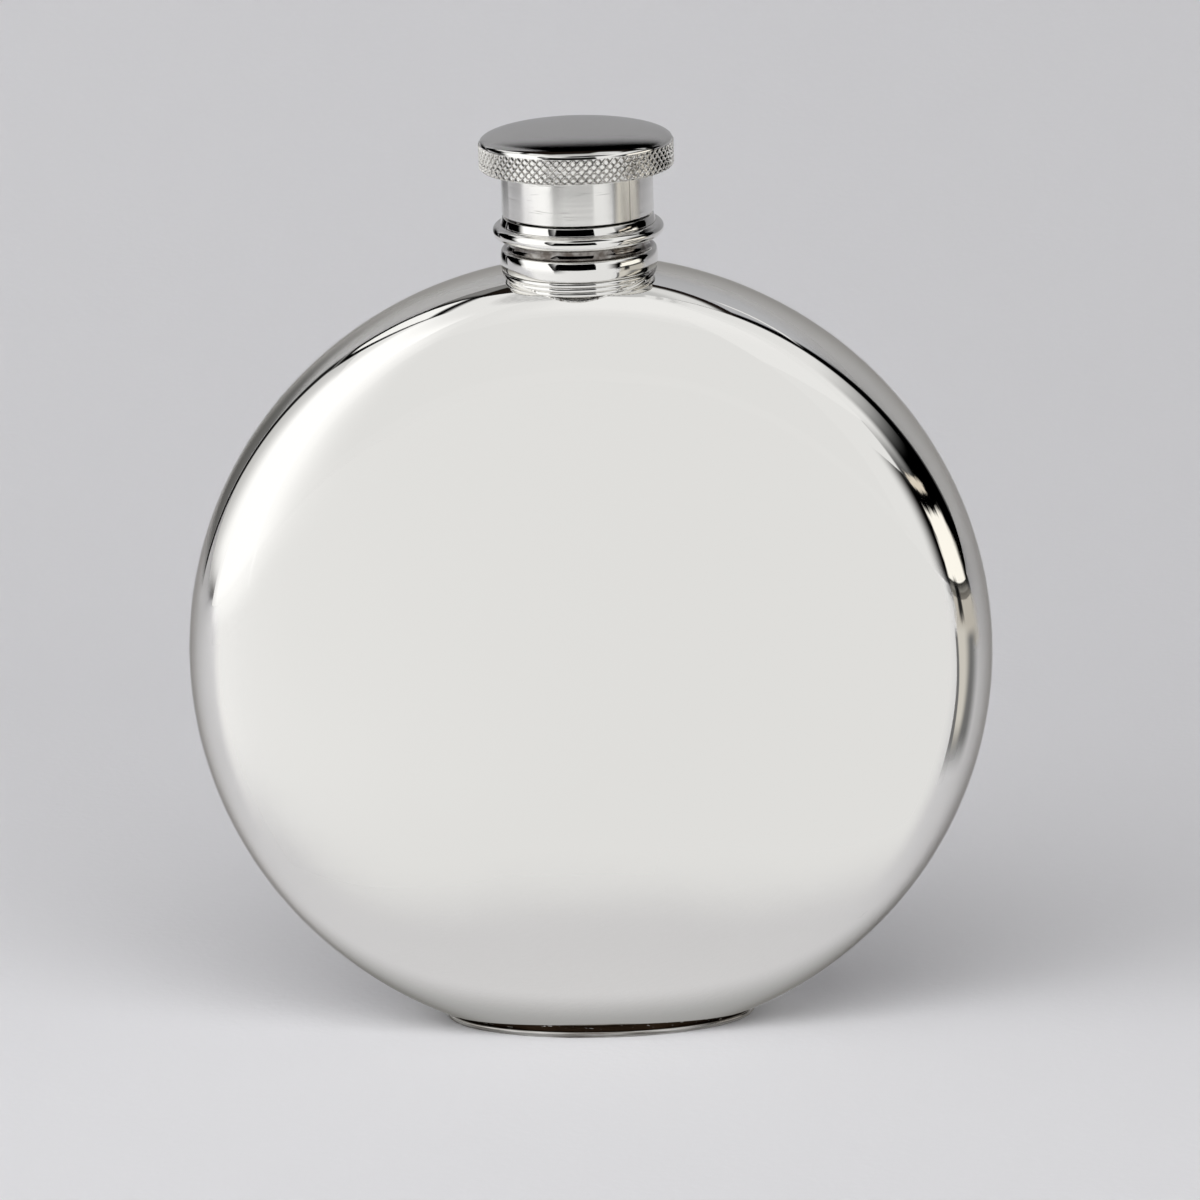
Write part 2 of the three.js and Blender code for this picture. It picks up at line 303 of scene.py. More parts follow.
def spun_shell_tree():
    """Skin of a dished shell: a grid bent round the depth axis, with a gently crowned face that
    one round curve turns over into the side."""
    tree, given = geometry_tree("spun_shell", {
        "Radius": "Float", "Half Depth": "Float", "Face Fall": "Float", "Squareness": "Float",
        "Centre Height": "Float", "Facing": "Float", "Rim Crowding": "Float", "Steps": "Int",
        "Segments": "Int", "Material": "Material"})
    grid = add_node(tree, "GeometryNodeMeshGrid", {
        "Size X": 1.0, "Size Y": 1.0, "Vertices X": given["Steps"], "Vertices Y": given["Segments"]})
    place = add_node(tree, "ShaderNodeSeparateXYZ", {0: add_node(tree, "GeometryNodeInputPosition")})
    along = ramp(tree, place.outputs["X"], GRID_START, 0.5)
    quarter = product(tree, along, math.pi / 2)
    eased_in = math_node(tree, "SINE", quarter)
    share = math_node(tree, "POWER", eased_in, given["Rim Crowding"])
    square = math_node(tree, "POWER", share, 2.0)
    fall = product(tree, square, given["Face Fall"])
    crown = math_node(tree, "SUBTRACT", given["Half Depth"], fall)
    steep = math_node(tree, "POWER", share, given["Squareness"])
    rest = math_node(tree, "SUBTRACT", 1.0, steep, use_clamp=True)
    turn_over = math_node(tree, "SQRT", rest)
    faced = product(tree, crown, turn_over, given["Facing"])
    reach = product(tree, share, given["Radius"])
    turn = product(tree, place.outputs["Y"], math.tau)
    across = product(tree, reach, math_node(tree, "SINE", turn))
    rise = product(tree, reach, math_node(tree, "COSINE", turn))
    height = math_node(tree, "ADD", rise, given["Centre Height"])
    bent = add_node(tree, "ShaderNodeCombineXYZ", {"X": across, "Y": faced, "Z": height})
    skin = add_node(tree, "GeometryNodeSetPosition", {"Geometry": grid.outputs["Mesh"], "Position": bent})
    closed = add_node(tree, "GeometryNodeMergeByDistance", {"Geometry": skin, "Distance": MERGE_DISTANCE})
    is_front = add_node(tree, "FunctionNodeCompare", {0: given["Facing"], 1: 0.0}, operation="LESS_THAN")
    outward = add_node(tree, "GeometryNodeFlipFaces", {"Mesh": closed, "Selection": is_front})
    smooth = add_node(tree, "GeometryNodeSetShadeSmooth", {"Geometry": outward})
    end_tree(tree, smooth, given["Material"])
    return tree


def about_axis(tree):
    """Place of a point, its turn about the upright axis, its distance from it and its way outwards."""
    position = add_node(tree, "GeometryNodeInputPosition")
    place = add_node(tree, "ShaderNodeSeparateXYZ", {0: position}).outputs
    angle = math_node(tree, "ARCTAN2", place["Y"], place["X"])
    turn = math_node(tree, "DIVIDE", angle, math.tau)
    flat = add_node(tree, "ShaderNodeCombineXYZ", {"X": place["X"], "Y": place["Y"]})
    reach = add_node(tree, "ShaderNodeVectorMath", {0: flat}, operation="LENGTH").outputs["Value"]
    outwards = add_node(tree, "ShaderNodeVectorMath", {0: flat}, operation="NORMALIZE")
    return place, turn, reach, outwards


def knurl_tree():
    """Crossed knurl: two sets of slanting ridges left standing on a rim, diamonds sunk between them."""
    tree, given = geometry_tree("crossed_knurl", {
        "Bottom": "Float", "Height": "Float", "Radius": "Float", "Depth": "Float",
        "Diamonds": "Float", "Rows": "Float", "Ridge Share": "Float", "Material": "Material"})
    place, turn, reach, outwards = about_axis(tree)
    column = product(tree, turn, given["Diamonds"])
    above = math_node(tree, "SUBTRACT", place["Z"], given["Bottom"])
    level = math_node(tree, "DIVIDE", above, given["Height"])
    row = product(tree, level, given["Rows"])
    rising = math_node(tree, "ADD", column, row)
    falling = math_node(tree, "SUBTRACT", column, row)
    to_rising = math_node(tree, "PINGPONG", rising, 0.5)
    to_falling = math_node(tree, "PINGPONG", falling, 0.5)
    to_ridge = math_node(tree, "MINIMUM", to_rising, to_falling)
    sunk = ramp(tree, to_ridge, given["Ridge Share"], KNURL_FLANK, smooth=True)
    inner = math_node(tree, "SUBTRACT", given["Radius"], given["Depth"])
    on_rim = ramp(tree, reach, inner, given["Radius"])
    in_band = math_node(tree, "LESS_THAN", level, KNURL_TOP)
    recess = product(tree, sunk, product(tree, on_rim, in_band))
    inward = product(tree, recess, given["Depth"], -1.0)
    move = add_node(tree, "ShaderNodeVectorMath", {0: outwards, "Scale": inward}, operation="SCALE")
    marked = add_node(tree, "GeometryNodeStoreNamedAttribute", {
        "Geometry": given["Geometry"], "Name": "recess", "Value": recess},
        data_type="FLOAT", domain="POINT")
    rolled = add_node(tree, "GeometryNodeSetPosition", {"Geometry": marked, "Offset": move})
    end_tree(tree, rolled, given["Material"])
    return tree


def thread_tree():
    """Right-hand screw thread: a rounded ridge raised along a helix on one turned surface."""
    tree, given = geometry_tree("screw_thread", {
        "Bottom": "Float", "Top": "Float", "Radius": "Float", "Pitch": "Float", "Depth": "Float",
        "Phase": "Float", "Outwards": "Float", "Material": "Material"})
    place, turn, reach, outwards = about_axis(tree)
    climb = math_node(tree, "DIVIDE", place["Z"], given["Pitch"])
    unwound = math_node(tree, "SUBTRACT", climb, turn)
    phased = math_node(tree, "ADD", unwound, given["Phase"])
    to_crest = math_node(tree, "PINGPONG", phased, 0.5)
    ridge = ramp(tree, to_crest, THREAD_CREST, THREAD_FLANK, 1.0, 0.0, smooth=True)
    run_in = product(tree, given["Pitch"], THREAD_RUN_IN)
    low = math_node(tree, "ADD", given["Bottom"], run_in)
    high = math_node(tree, "SUBTRACT", given["Top"], run_in)
    starts = ramp(tree, place["Z"], given["Bottom"], low, smooth=True)
    ends = ramp(tree, place["Z"], given["Top"], high, smooth=True)
    length = product(tree, starts, ends)
    signed = product(tree, ridge, length, given["Depth"], given["Outwards"])
    on_surface = add_node(tree, "FunctionNodeCompare", {
        0: reach, 1: given["Radius"], "Epsilon": 0.05 * MM}, operation="EQUAL")
    move = add_node(tree, "ShaderNodeVectorMath", {0: outwards, "Scale": signed}, operation="SCALE")
    cut = add_node(tree, "GeometryNodeSetPosition", {
        "Geometry": given["Geometry"], "Selection": on_surface, "Offset": move})
    end_tree(tree, cut, given["Material"])
    return tree


def solder_tree():
    """Bead of solder: a ring dropped on to the body, swept with a round section of uneven size."""
    tree, given = geometry_tree("solder_bead", {
        "Body": "Object", "Second Body": "Object", "Ring Radius": "Float", "Bead Radius": "Float",
        "Drop Height": "Float", "Lump Size": "Float", "Unevenness": "Float", "Segments": "Int",
        "Material": "Material"})
    ring = add_node(tree, "GeometryNodeCurvePrimitiveCircle", {
        "Resolution": given["Segments"], "Radius": given["Ring Radius"]})
    halves = [add_node(tree, "GeometryNodeObjectInfo", {"Object": given[name]}).outputs["Geometry"]
              for name in ("Body", "Second Body")]
    body = add_node(tree, "GeometryNodeJoinGeometry")
    for half in halves:
        tree.links.new(half, body.inputs["Geometry"])
    position = add_node(tree, "GeometryNodeInputPosition")
    above = add_node(tree, "ShaderNodeCombineXYZ", {"Z": given["Drop Height"]})
    source = add_node(tree, "ShaderNodeVectorMath", {0: position, 1: above}, operation="ADD")
    hit = add_node(tree, "GeometryNodeRaycast", {
        "Target Geometry": body, "Source Position": source, "Ray Direction": (0, 0, -1),
        "Ray Length": given["Drop Height"]})
    seam = add_node(tree, "GeometryNodeSetPosition", {
        "Geometry": ring, "Position": hit.outputs["Hit Position"]})
    lumps = math_node(tree, "DIVIDE", 1.0, given["Lump Size"])
    noise = add_node(tree, "ShaderNodeTexNoise", {"Vector": position, "Scale": lumps, "Detail": 3.0})
    spread = math_node(tree, "SUBTRACT", noise, 0.5)
    uneven = math_node(tree, "MULTIPLY_ADD", spread, given["Unevenness"], 1.0)
    sized = add_node(tree, "GeometryNodeSetCurveRadius", {"Curve": seam, "Radius": uneven})
    section = add_node(tree, "GeometryNodeCurvePrimitiveCircle", {
        "Resolution": BEAD_POINTS, "Radius": given["Bead Radius"]})
    bead = add_node(tree, "GeometryNodeCurveToMesh", {"Curve": sized, "Profile Curve": section})
    smooth = add_node(tree, "GeometryNodeSetShadeSmooth", {"Geometry": bead})
    end_tree(tree, smooth, given["Material"])
    return tree


def bead_points(root, crest, bottom, top, power=1.0, steps=BEAD_STEPS):
    """A bead or a groove between two heights. A lower power gives a fuller one."""
    points = []
    for i in range(steps + 1):
        angle = math.pi * i / steps
        bulge = math.sin(angle) ** power if i % steps else 0
        share = (1 - math.cos(angle)) / 2
        points.append((root + (crest - root) * bulge, bottom + (top - bottom) * share))
    return points


def straight(start, end, steps):
    """Points between two ends of a profile, the ends included."""
    start, end = Vector(start), Vector(end)
    return [tuple(start.lerp(end, i / steps)) for i in range(steps + 1)]


def eased(profile, size):
    """The profile with its sharp corners rounded, as edges are broken on the lathe."""
    points = [Vector(p) for p in profile]
    points = [p for i, p in enumerate(points) if i == 0 or (p - points[i - 1]).length > MERGE_DISTANCE]
    result = [points[0]]
    for before, corner, after in zip(points, points[1:], points[2:]):
        if (corner - before).angle(after - corner) < CORNER_ANGLE:
            result.append(corner)
            continue
        start = corner + (before - corner) * min(size / (before - corner).length, CORNER_SHARE)
        end = corner + (after - corner) * min(size / (after - corner).length, CORNER_SHARE)
        for i in range(CORNER_STEPS + 1):
            share = i / CORNER_STEPS
            result.append(start.lerp(corner, share).lerp(corner.lerp(end, share), share))
    result.append(points[-1])
    return result


def turned(name, profile, segments):
    """A piece turned on the lathe: its profile of radius and height, going up on the outside."""
    points = [tuple(p) for p in profile]
    loops = (Vector(points[0]) - Vector(points[-1])).length < MERGE_DISTANCE
    if loops:
        points.pop()
    vertices = []
    rings = []
    for radius, height in points:
        first = len(vertices)
        count = segments if radius > MERGE_DISTANCE else 1
        rings.append([first + i % count for i in range(segments + 1)])
        for i in range(count):
            angle = math.tau * i / segments
            vertices.append((radius * math.cos(angle), radius * math.sin(angle), height))
        if count == segments:
            rings[-1][-1] = first
    faces = []
    for low, high in zip(rings, rings[1:] + rings[:1] if loops else rings[1:]):
        for i in range(segments):
            corners = dict.fromkeys((low[i], low[i + 1], high[i + 1], high[i]))
            faces.append(tuple(corners))
    return mesh_piece(name, vertices, faces)


def mesh_piece(name, vertices, faces):
    """A new object at the origin with the given mesh."""
    mesh = bpy.data.meshes.new(name)
    mesh.from_pydata(vertices, [], faces)
    mesh.validate()
    piece = bpy.data.objects.new(name, mesh)
    bpy.context.collection.objects.link(piece)
    return piece


def finished(piece, material):
    """Turns the evaluated piece into a plain mesh with smooth faces and crisp edges."""
    graph = bpy.context.evaluated_depsgraph_get()
    mesh = bpy.data.meshes.new_from_object(piece.evaluated_get(graph))
    old = piece.data
    piece.modifiers.clear()
    piece.data = mesh
    bpy.data.meshes.remove(old)
    mesh.name = piece.name
    mesh.materials.clear()
    mesh.materials.append(material)
    mesh.polygons.foreach_set("material_index", [0] * len(mesh.polygons))
    mesh.shade_smooth()
    mesh.set_sharp_from_angle(angle=SHARP_ANGLE)
    return piece


def settle(piece, body, slot, *nodes):
    """The piece rides on a body and stands for its solids, which are hidden. The slot is not used."""
    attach(piece, body)
    if nodes:
        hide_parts(*nodes)


def drop(*tools):
    """Removes the objects that were only needed for cutting."""
    for tool in tools:
        bpy.data.meshes.remove(tool.data)


def cut_away(piece, tool):
    """Cuts the tool's shape out of the piece."""
    modifier = piece.modifiers.new("cut", "BOOLEAN")
    modifier.operation = "DIFFERENCE"
    modifier.solver = "EXACT"
    modifier.object = tool


def new_material(name, uniform):
    """A material with its tree, the shader's uniform values set, and the place of a point on the piece."""
    material = bpy.data.materials.new(name)
    material.use_nodes = True
    tree = material.node_tree
    for socket, value in uniform.items():
        tree.nodes["Principled BSDF"].inputs[socket].default_value = value
    return material, tree, add_node(tree, "ShaderNodeTexCoord").outputs["Object"]


def feed(tree, socket, node):
    """Feeds a node to one of the shader's sockets."""
    tree.links.new(node.outputs[0], tree.nodes["Principled BSDF"].inputs[socket])


def paint(tree, share, first, second):
    """Colours the shader with a mix of two colours."""
    mixed = add_node(tree, "ShaderNodeMix", {0: share, 6: first, 7: second}, data_type="RGBA")
    tree.links.new(mixed.outputs[2], tree.nodes["Principled BSDF"].inputs["Base Color"])


def press(tree, height, strength, distance, under=None):
    """Gives the shader a fine relief, on top of another one where there is one."""
    relief = {"Height": height, "Strength": strength, "Distance": distance}
    if under:
        relief["Normal"] = under
    bump = add_node(tree, "ShaderNodeBump", relief)
    feed(tree, "Normal", bump)
    return bump


def drawn_out(tree, place, across, upright, lean=0.0):
    """The place in units that differ across and upright, so that a pattern is drawn out into lines."""
    return add_node(tree, "ShaderNodeMapping", {
        "Vector": place, "Rotation": (0, lean, 0), "Scale": (1 / across, 1 / across, 1 / upright)})


def buffed_pewter():
    """Body. Sheet pewter buffed on a mop: a bright mirror, a little warm and never quite
    flat, with a faint haze that comes and goes and a few hairlines from handling."""
    finish = bpy.context.scene.flask_finish
    material, tree, place = new_material("buffed_pewter", {
        "Metallic": 1, "Base Color": finish.pewter, "Specular Tint": finish.pewter_edge})
    haze = noise_node(tree, place, 16 * MM, 4.0)
    grain = noise_node(tree, place, 0.5 * MM, 2.0)
    leaning = drawn_out(tree, place, 30 * MM, 1.1 * MM, math.radians(24))
    lines = add_node(tree, "ShaderNodeTexVoronoi", {
        "Vector": leaning, "Scale": 1.0}, feature="DISTANCE_TO_EDGE")
    hairline = ramp(tree, lines.outputs["Distance"], 0.0, 0.02, 1.0, 0.0)
    patches = noise_node(tree, place, 11 * MM, 1.0)
    few = ramp(tree, patches, 0.64, 0.74)
    scratch = product(tree, hairline, few)
    soft = ramp(tree, haze, 0.3, 0.7, 0.02, 0.045)
    feed(tree, "Roughness", math_node(tree, "MULTIPLY_ADD", scratch, 0.12, soft))
    waves = noise_node(tree, place, 18 * MM, 1.0)
    wavy = press(tree, waves, 1.0, 0.16 * MM)
    press(tree, grain, 0.02, 0.02 * MM, wavy)
    return material


def turned_pewter():
    """Spout. Pewter turned on a lathe and polished there: a deep mirror, broken by
    very fine rings that run round it."""
    finish = bpy.context.scene.flask_finish
    material, tree, place = new_material("turned_polished_pewter", {
        "Metallic": 1, "Base Color": finish.pewter})
    rings = drawn_out(tree, place, 9 * MM, 0.16 * MM)
    lines = noise_node(tree, rings, 1.0, 2.0)
    feed(tree, "Roughness", ramp(tree, lines, 0.35, 0.65, 0.03, 0.07))
    press(tree, lines, 0.04, 0.02 * MM)
    return material


def groove_shaded_pewter():
    """Collar. The same turned pewter, with painted shade, dark brown mottled like dirt, at the bottom of
    its grooves.
    """
    material = turned_pewter()
    material.name = "grooved_polished_pewter"
    tree = material.node_tree
    finish = bpy.context.scene.flask_finish
    neck = bpy.context.scene.flask_neck
    place = add_node(tree, "ShaderNodeTexCoord").outputs["Object"]
    flat = add_node(tree, "ShaderNodeVectorMath", {0: place, 1: (1, 1, 0)}, operation="MULTIPLY")
    reach = add_node(tree, "ShaderNodeVectorMath", {0: flat}, operation="LENGTH")
    # Painted shade: darker towards the bottom of the grooves, where the collar's radius is small, mottled
    # by noise.
    deep = ramp(tree, reach.outputs["Value"], neck.groove_radius, neck.reed_radius, 0.9, 0.0, smooth=True)
    patches = noise_node(tree, place, 1.6 * MM, 3.0)
    mottle = ramp(tree, patches, 0.3, 0.6, 0.55, 1.0)
    grime_and_shade = product(tree, deep, mottle)
    paint(tree, grime_and_shade, finish.pewter, finish.painted_shade_brown)
    return material


def satin_pewter():
    """Sleeve. Pewter left as the lathe tool and fine paper leave it: silky, with lines that run
    round it and draw each reflection out into upright bands, and a few short dark drag marks."""
    finish = bpy.context.scene.flask_finish
    material, tree, place = new_material("turned_satin_pewter", {
        "Metallic": 1, "Anisotropic": 1.0, "Anisotropic Rotation": 0.25})
    feed(tree, "Tangent", add_node(tree, "ShaderNodeTangent", direction_type="RADIAL", axis="Z"))
    rings = drawn_out(tree, place, 14 * MM, 0.4 * MM)
    lines = noise_node(tree, rings, 1.0, 3.0)
    drag = drawn_out(tree, place, 3.6 * MM, 0.28 * MM)
    marks = noise_node(tree, drag, 1.0, 1.0)
    dash = ramp(tree, marks, 0.67, 0.77, 0.0, 0.38)
    across = add_node(tree, "ShaderNodeSeparateXYZ", {0: place})
    front = product(tree, across.outputs["Y"], -1.0)
    turn = math_node(tree, "ARCTAN2", across.outputs["X"], front)
    wander = math_node(tree, "MULTIPLY_ADD", marks, 0.01, turn)
    aside = math_node(tree, "SUBTRACT", wander, finish.scratch_turn)
    width = math_node(tree, "ABSOLUTE", aside)
    scratch = ramp(tree, width, 0.004, 0.01, 0.45, 0.0)
    stain = math_node(tree, "MAXIMUM", dash, scratch)
    paint(tree, stain, finish.satin, finish.tarnish_and_shade)
    feed(tree, "Roughness", ramp(tree, lines, 0.3, 0.7, 0.2, 0.26))
    press(tree, lines, 0.012, 0.02 * MM)
    return material


def knurled_pewter():
    """Crown. Pewter with a buffed dome and a rolled knurl: the ridges are burnished bright, the flanks of
    the diamonds carry painted shade mottled like dirt, and their bottoms keep the matt skin of the wheel."""
    finish = bpy.context.scene.flask_finish
    material, tree, place = new_material("knurled_buffed_pewter", {"Metallic": 1})
    recess = add_node(tree, "ShaderNodeAttribute", attribute_name="recess")
    grime_and_shade = noise_node(tree, place, 0.5 * MM, 3.0)
    mottle = ramp(tree, grime_and_shade, 0.3, 0.65, 0.4, 2.4)
    # Painted shade mottled like dirt: the flanks, halfway down each diamond, are darkened.
    proud = math_node(tree, "SUBTRACT", 1.0, recess.outputs["Fac"])
    flank = product(tree, proud, recess.outputs["Fac"])
    dull_and_shade = math_node(tree, "MULTIPLY", flank, mottle, use_clamp=True)
    paint(tree, dull_and_shade, finish.pewter, finish.tarnish_and_shade)
    haze = noise_node(tree, place, 8 * MM, 4.0)
    soft = ramp(tree, haze, 0.3, 0.7, 0.05, 0.1)
    feed(tree, "Roughness", math_node(tree, "MULTIPLY_ADD", recess.outputs["Fac"], 0.1, soft))
    press(tree, grime_and_shade, 0.05, 0.02 * MM)
    return material


def scuffed_pewter():
    """Foot. The same sheet pewter, scuffed by every table it stood on and greyed with painted shade that
    stands in for the dark it mirrors near the floor: greyer and duller, with brighter streaks along its
    edge."""
    finish = bpy.context.scene.flask_finish
    material, tree, place = new_material("scuffed_pewter", {
        "Metallic": 1, "Specular Tint": finish.pewter_edge})
    drawn = drawn_out(tree, place, 6 * MM, 0.25 * MM)
    streaks = noise_node(tree, drawn, 1.0, 3.0)
    # Painted shade and scuffs: streaky noise greys the pewter, between 0.3 and 0.85 of the way to the
    # darker colour.
    dull_and_shade = ramp(tree, streaks, 0.35, 0.65, 0.85, 0.3)
    paint(tree, dull_and_shade, finish.pewter, finish.tarnish_and_shade)
    feed(tree, "Roughness", ramp(tree, dull_and_shade, 0.0, 1.0, 0.08, 0.22))
    return material


def pressed_cork():
    """Liner. Granules of cork pressed into a sheet: brown crumbs of many shades with dark
    joints, dry and matt."""
    finish = bpy.context.scene.flask_finish
    material, tree, place = new_material("pressed_cork", {"Roughness": 0.85})
    crumbs = add_node(tree, "ShaderNodeTexVoronoi", {"Vector": place, "Scale": 1 / (1.1 * MM)})
    shade = add_node(tree, "ShaderNodeSeparateColor", {0: crumbs.outputs["Color"]})
    joints = add_node(tree, "ShaderNodeTexVoronoi", {
        "Vector": place, "Scale": 1 / (1.1 * MM)}, feature="DISTANCE_TO_EDGE")
    edge = ramp(tree, joints.outputs["Distance"], 0.0, 0.09, 0.8, 0.0)
    tone = math_node(tree, "MULTIPLY_ADD", shade, 0.45, edge)
    paint(tree, tone, finish.cork, finish.cork_grain)
    press(tree, joints.outputs["Distance"], 0.4, 0.1 * MM)
    return material


def wiped_solder():
    """Bead round the collar. Tin solder wiped while hot: bright but lumpy, with dark specks of
    flux caught along it."""
    finish = bpy.context.scene.flask_finish
    material, tree, place = new_material("wiped_tin_solder", {"Metallic": 1})
    specks = noise_node(tree, place, 0.45 * MM, 2.0)
    dark = ramp(tree, specks, 0.56, 0.66, 0.0, 0.9)
    paint(tree, dark, finish.satin, finish.tarnish_and_shade)
    feed(tree, "Roughness", ramp(tree, dark, 0.0, 1.0, 0.2, 0.6))
    press(tree, specks, 0.5, 0.06 * MM)
    return material


def shaded_seam():
    """Seam over the base. Solder coloured with painted shade, a dark brown that stands in for the
    shadowed gap between the base and the body, with bright flecks where it was touched."""
    finish = bpy.context.scene.flask_finish
    material, tree, place = new_material("unwiped_tin_solder", {"Metallic": 1})
    drawn = drawn_out(tree, place, 1.0 * MM, 0.3 * MM)
    flecks = noise_node(tree, drawn, 1.0, 2.0)
    bright = ramp(tree, flecks, 0.64, 0.72)
    # Painted shade: dark brown over most of the seam, with the flecks in pewter.
    paint(tree, bright, finish.painted_shade_brown, finish.satin)
    feed(tree, "Roughness", ramp(tree, bright, 0.0, 1.0, 0.5, 0.25))
    press(tree, flecks, 0.6, 0.1 * MM)
    return material


def seamless_paper():
    """Floor and backdrop. Matt paper with a faint tooth that only shows close to the camera, and
    clear from its back, so that the flask can be seen from every side."""
    material, tree, place = new_material("seamless_paper", {
        "Base Color": bpy.context.scene.flask_stage.paper, "Roughness": 0.95, "Specular IOR Level": 0.1})
    tooth = noise_node(tree, place, 1.2 * MM, 5.0)
    press(tree, tooth, 0.3, 0.2 * MM)
    side = add_node(tree, "ShaderNodeNewGeometry")
    clear = add_node(tree, "ShaderNodeBsdfTransparent")
    sheet = add_node(tree, "ShaderNodeMixShader", {
        0: side.outputs["Backfacing"], 1: tree.nodes["Principled BSDF"], 2: clear})
    tree.links.new(sheet.outputs[0], tree.nodes["Material Output"].inputs["Surface"])
    return material


def material_of(maker):
    """The material of that maker, made the first time it is asked for."""
    made = bpy.context.scene.get("flask_" + maker.__name__)
    if made is None:
        made = maker()
        bpy.context.scene["flask_" + maker.__name__] = made
    return made


def centre_height(body):
    """Height of the middle of the round body above the floor."""
    return foot_high.z + math.sqrt(body.radius ** 2 - (body.foot_width / 2) ** 2)


def half_depth(body, radius):
    """Half the depth of the body at a distance from its middle."""
    share = min(radius / body.radius, 1)
    return (body.half_depth - body.face_fall * share ** 2) * math.sqrt(1 - share ** body.squareness)


def shell_skin(name, facing, material):
    """The front or back skin of the body as an open sheet, its modifier still on it."""
    tree = bpy.data.node_groups.get("spun_shell") or spun_shell_tree()
    skin = mesh_piece(name, [], [])
    body = bpy.context.scene.flask_body
    run_tree(skin, tree, {
        "Radius": body.radius, "Half Depth": body.half_depth, "Face Fall": body.face_fall,
        "Squareness": body.squareness, "Centre Height": centre_height(body), "Facing": facing,
        "Rim Crowding": RIM_CROWDING, "Steps": SHELL_STEPS, "Segments": SHELL_SEGMENTS,
        "Material": material})
    return skin


class FLASK_OT_shells(bpy.types.Operator):
    """Make the two dished shells, cut for the foot and bored for the spout"""
    bl_idname = "flask.shells"
    bl_label = "Shells"

    def execute(self, context):
        body = context.scene.flask_body
        neck = context.scene.flask_neck
        material = material_of(buffed_pewter)
        reach = 2 * body.radius
        below = turned("below_foot", [
            (0, -reach), (reach, -reach), (reach, foot_high.z), (0, foot_high.z)], NECK_SEGMENTS)
        hole = turned("spout_hole", [
            (0, centre_height(body)), (neck.stem_radius, centre_height(body)),
            (neck.stem_radius, reach), (0, reach)], NECK_SEGMENTS)
        for name, node, facing in (("body_front", "front_shell", -1.0), ("body_back", "back_shell", 1.0)):
            shell = shell_skin(name, facing, material)
            wall = shell.modifiers.new("wall", "SOLIDIFY")
            wall.thickness = body.wall
            wall.offset = -1
            wall.use_quality_normals = True
            cut_away(shell, below)
            cut_away(shell, hole)
            settle(finished(shell, material), "flask", "polished_pewter", node)
        drop(below, hole)
        return {"FINISHED"}


class FLASK_OT_foot(bpy.types.Operator):
    """Make the oval base and the soldered seam between it and the body"""
    bl_idname = "flask.foot"
    bl_label = "Foot"

    def execute(self, context):
        body = context.scene.flask_body
        radius = body.base_width / 2
        round_edge = body.base_thickness / 2
        base = turned("foot", [
            (0, 0), *bead_points(radius - round_edge, radius, 0, body.base_thickness, FOOT_FULLNESS),
            (0, body.base_thickness)], NECK_SEGMENTS)
        base.data.transform(Matrix.Diagonal((1, body.base_depth / body.base_width, 1, 1)))
        settle(finished(base, material_of(scuffed_pewter)), "flask", "polished_pewter", "foot_plate")

        below = centre_height(body) - foot_high.z
        crust = []
        outline = []
        for i in range(FOOT_SEGMENTS):
            angle = math.tau * i / FOOT_SEGMENTS
            crust.append((
                math.cos(angle) * (radius - body.foot_inset),
                math.sin(angle) * (body.base_depth / 2 - body.foot_inset), body.base_thickness))
            x = body.foot_width / 2 * math.cos(angle)
            y = math.copysign(half_depth(body, math.hypot(x, below)), math.sin(angle))
            corner = Vector((x * body.base_width / body.foot_width, y))
            outline.append((*(corner - corner.normalized() * body.foot_inset), foot_high.z))
        vertices = crust + outline
        ring = range(FOOT_SEGMENTS)
        faces = [(i, (i + 1) % FOOT_SEGMENTS, (i + 1) % FOOT_SEGMENTS + FOOT_SEGMENTS, i + FOOT_SEGMENTS)
                 for i in ring]
        faces.append(tuple(reversed(ring)))
        faces.append(tuple(i + FOOT_SEGMENTS for i in ring))
        # The seam is coloured with painted shade, for the shadowed gap over the base.
        seam = finished(mesh_piece("foot_seam", vertices, faces), material_of(shaded_seam))
        settle(seam, "flask", "polished_pewter")
        return {"FINISHED"}


